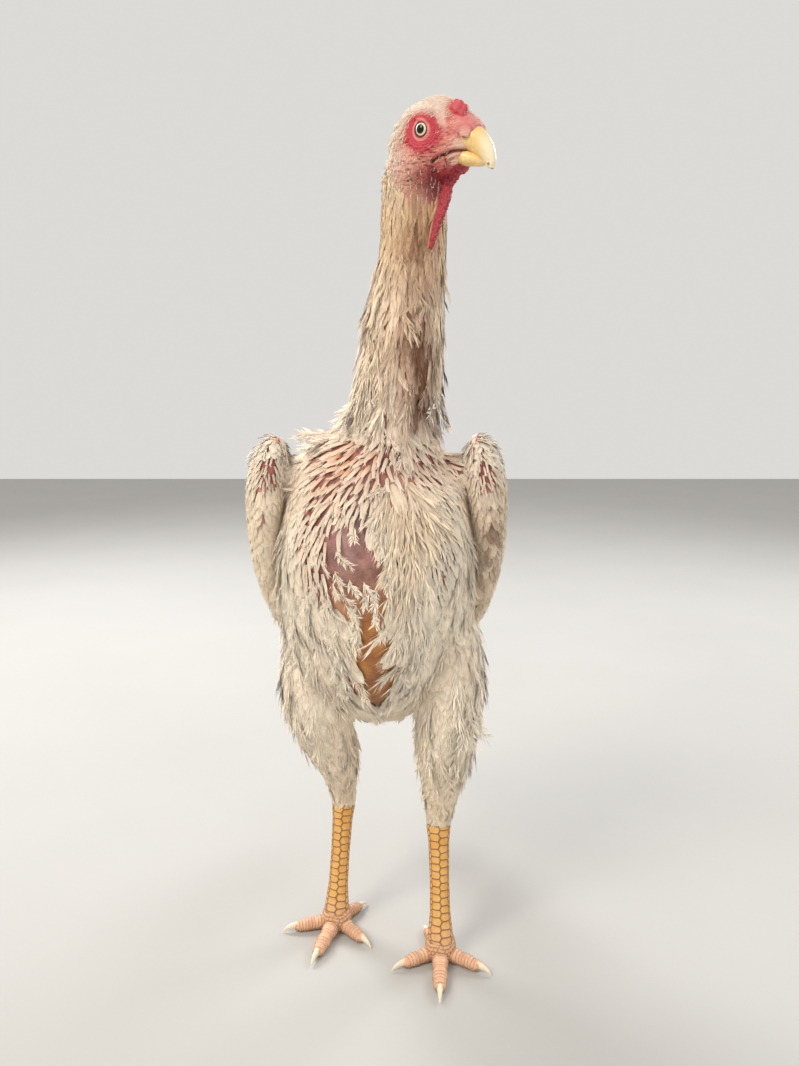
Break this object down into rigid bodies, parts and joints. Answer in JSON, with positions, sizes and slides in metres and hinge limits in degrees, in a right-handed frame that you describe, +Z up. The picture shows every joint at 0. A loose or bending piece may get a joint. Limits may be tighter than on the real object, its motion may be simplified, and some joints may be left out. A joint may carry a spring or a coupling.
{
  "type": "shamo chicken",
  "caption": "Life-size standing game fowl: tall and upright on two scaly legs, long neck, bare face, folded wings, drooping tail.",
  "frame": {"origin": "middle of the bottom of the bounding box, on the floor that the feet stand on", "axes": "+Z up, the longest way; the bird faces -Y and its left side is +X"},
  "size_m": [0.2194, 0.3532, 0.705],
  "materials": {
    "plumage": "matt, cream white feathers",
    "face_skin": "satin, wrinkled red skin",
    "comb_skin": "satin, pebbled red skin",
    "horn": "semi-gloss yellow horn",
    "eye": "glossy, pearl iris and black pupil",
    "scaly_skin": "satin, yellow scutes with dark edges",
    "claw_horn": "semi-gloss pale horn"
  },
  "bodies": {
    "root": {"torso": "plumage", "tail_base": "plumage", "tail_left": "plumage", "tail_right": "plumage", "neck_lower": "plumage", "neck_upper": "plumage", "head": "face_skin", "comb": "comb_skin", "dewlap": "comb_skin", "bill_upper": "horn", "bill_lower": "horn", "eye_left": "eye", "ear_left": "face_skin", "wing_left_arm": "plumage", "wing_left_hand": "plumage", "thigh_left": "plumage", "drumstick_left": "plumage", "shank_left": "scaly_skin", "foot_left": "scaly_skin", "toe_left_inner": "scaly_skin", "claw_left_inner": "claw_horn", "toe_left_middle": "scaly_skin", "claw_left_middle": "claw_horn", "toe_left_outer": "scaly_skin", "claw_left_outer": "claw_horn", "toe_left_hind": "scaly_skin", "claw_left_hind": "claw_horn", "eye_right": "eye", "ear_right": "face_skin", "wing_right_arm": "plumage", "wing_right_hand": "plumage", "thigh_right": "plumage", "drumstick_right": "plumage", "shank_right": "scaly_skin", "foot_right": "scaly_skin", "toe_right_inner": "scaly_skin", "claw_right_inner": "claw_horn", "toe_right_middle": "scaly_skin", "claw_right_middle": "claw_horn", "toe_right_outer": "scaly_skin", "claw_right_outer": "claw_horn", "toe_right_hind": "scaly_skin", "claw_right_hind": "claw_horn"}
  },
  "joints": []
}
